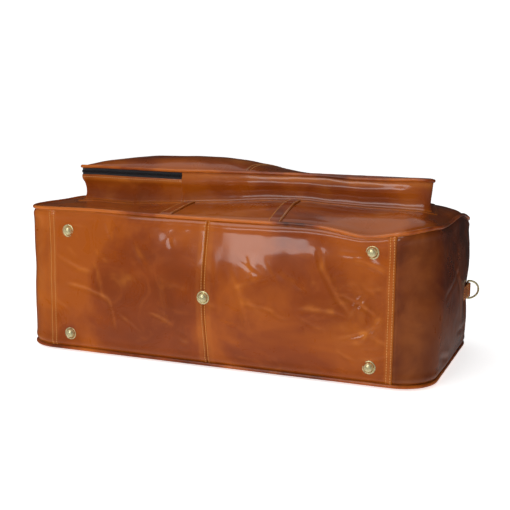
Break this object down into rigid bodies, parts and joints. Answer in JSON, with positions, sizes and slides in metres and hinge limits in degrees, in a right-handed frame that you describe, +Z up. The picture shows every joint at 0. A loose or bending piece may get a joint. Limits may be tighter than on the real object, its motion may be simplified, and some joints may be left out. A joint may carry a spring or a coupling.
{
  "type": "duffel bag",
  "caption": "Rectangular leather travel duffel lying on its back panel, with a zipped front pocket, studded base, piped edges, rolled handles and end rings.",
  "frame": {"origin": "on the floor under the centre of the whole bag's box, feet to handle tips, as it lies on its back panel", "axes": "+X along the bag's length, its right end as seen from the base; +Y from the base with its feet to the top with its zip and handles; +Z up, from the back panel to the front pocket"},
  "size_m": [0.6832, 0.4877, 0.2837],
  "materials": {
    "leather": "glossy oiled pull-up leather, cognac",
    "strap_leather": "glossy oiled pull-up leather, cognac, sewn in layers",
    "piping_leather": "satin oiled leather over cord",
    "lining": "plain woven twill",
    "board": "matte fibreboard",
    "zip_tape": "woven tape",
    "zip_teeth": "satin moulded coil",
    "thread": "waxed golden-tan thread",
    "brass": "polished pale brass"
  },
  "bodies": {
    "bag": {"base_panel_left": "leather", "base_panel_right": "leather", "end_gusset_left": "leather", "end_gusset_right": "leather", "top_end_left": "leather", "top_end_right": "leather", "top_margin_back": "leather", "top_margin_front": "leather", "back_panel": "leather", "front_panel": "leather", "pocket_wall_plain": "leather", "pocket_wall_zipped": "leather", "pocket_face": "leather", "zip_end_tab_left": "strap_leather", "zip_end_tab_right": "strap_leather", "front_strap_left": "strap_leather", "front_strap_right": "strap_leather", "back_strap_left": "strap_leather", "back_strap_right": "strap_leather", "d_ring_chape_left": "strap_leather", "d_ring_chape_right": "strap_leather", "back_piping": "piping_leather", "front_piping": "piping_leather", "pocket_piping": "piping_leather", "pocket_tape_lower": "zip_tape", "pocket_tape_end": "zip_tape", "foot_lower_left": "brass", "foot_lower_right": "brass", "foot_upper_left": "brass", "foot_upper_right": "brass", "foot_centre": "brass", "foot_washer_lower_left": "brass", "foot_washer_lower_right": "brass", "foot_washer_upper_left": "brass", "foot_washer_upper_right": "brass", "foot_washer_centre": "brass", "lining": "lining", "base_board": "board"},
    "front_mouth": {"front_mouth_flap": "leather", "front_zip_tape": "zip_tape"},
    "back_mouth": {"back_mouth_flap": "leather", "back_zip_tape": "zip_tape"},
    "main_slider": {"main_slider": "brass"},
    "main_zip_pull": {"main_zip_pull": "brass"},
    "pocket_lid": {"pocket_lid": "leather", "pocket_lid_piping": "piping_leather", "pocket_tape_upper": "zip_tape"},
    "pocket_slider": {"pocket_slider": "brass"},
    "pocket_zip_pull": {"pocket_zip_pull": "brass"},
    "front_handle": {"front_handle": "strap_leather"},
    "back_handle": {"back_handle": "strap_leather"},
    "d_ring_left": {"d_ring_left": "brass"},
    "d_ring_right": {"d_ring_right": "brass"}
  },
  "joints": [
    {"name": "front_mouth_fold", "type": "hinge", "parent": "bag", "child": "front_mouth", "pos_m": [0, 0.088, 0.1689], "axis": [1, 0, 0], "range_deg": [0, 70]},
    {"name": "back_mouth_fold", "type": "hinge", "parent": "bag", "child": "back_mouth", "pos_m": [0, 0.088, 0.0186], "axis": [1, 0, 0], "range_deg": [-70, 0]},
    {"name": "main_zip", "type": "slide", "parent": "bag", "child": "main_slider", "axis": [1, 0, 0], "range_m": [0, 0.456]},
    {"name": "main_pull_swing", "type": "hinge", "parent": "main_slider", "child": "main_zip_pull", "pos_m": [-0.228, 0.0941, 0.09375], "axis": [0, 0, -1], "range_deg": [0, 150]},
    {"name": "pocket_lid_lift", "type": "hinge", "parent": "bag", "child": "pocket_lid", "pos_m": [-0.091, -0.142, 0.2838], "axis": [0.8782, 0.4762, -0.0443], "range_deg": [0, 25]},
    {"name": "pocket_zip", "type": "slide", "parent": "bag", "child": "pocket_slider", "axis": [-1, 0, 0], "range_m": [0, 0.42]},
    {"name": "pocket_pull_swing", "type": "hinge", "parent": "pocket_slider", "child": "pocket_zip_pull", "pos_m": [0.232, 0.0311, 0.25642], "axis": [0, 0, 1], "range_deg": [0, 150]},
    {"name": "front_handle_swing", "type": "hinge", "parent": "bag", "child": "front_handle", "pos_m": [0, 0.094, 0.1895], "axis": [1, 0, 0], "range_deg": [-20, 115]},
    {"name": "back_handle_swing", "type": "hinge", "parent": "bag", "child": "back_handle", "pos_m": [0, 0.094, -0.0002], "axis": [-1, 0, 0], "range_deg": [-20, 115]},
    {"name": "d_ring_left_swing", "type": "hinge", "parent": "bag", "child": "d_ring_left", "pos_m": [-0.3245, 0.029, 0.0945], "axis": [0, 0, 1], "range_deg": [-60, 90]},
    {"name": "d_ring_right_swing", "type": "hinge", "parent": "bag", "child": "d_ring_right", "pos_m": [0.3245, 0.029, 0.0945], "axis": [0, 0, -1], "range_deg": [-60, 90]}
  ],
  "couplings": [
    {"joint": "back_mouth_fold", "follows": "front_mouth_fold", "ratio": -1}
  ]
}
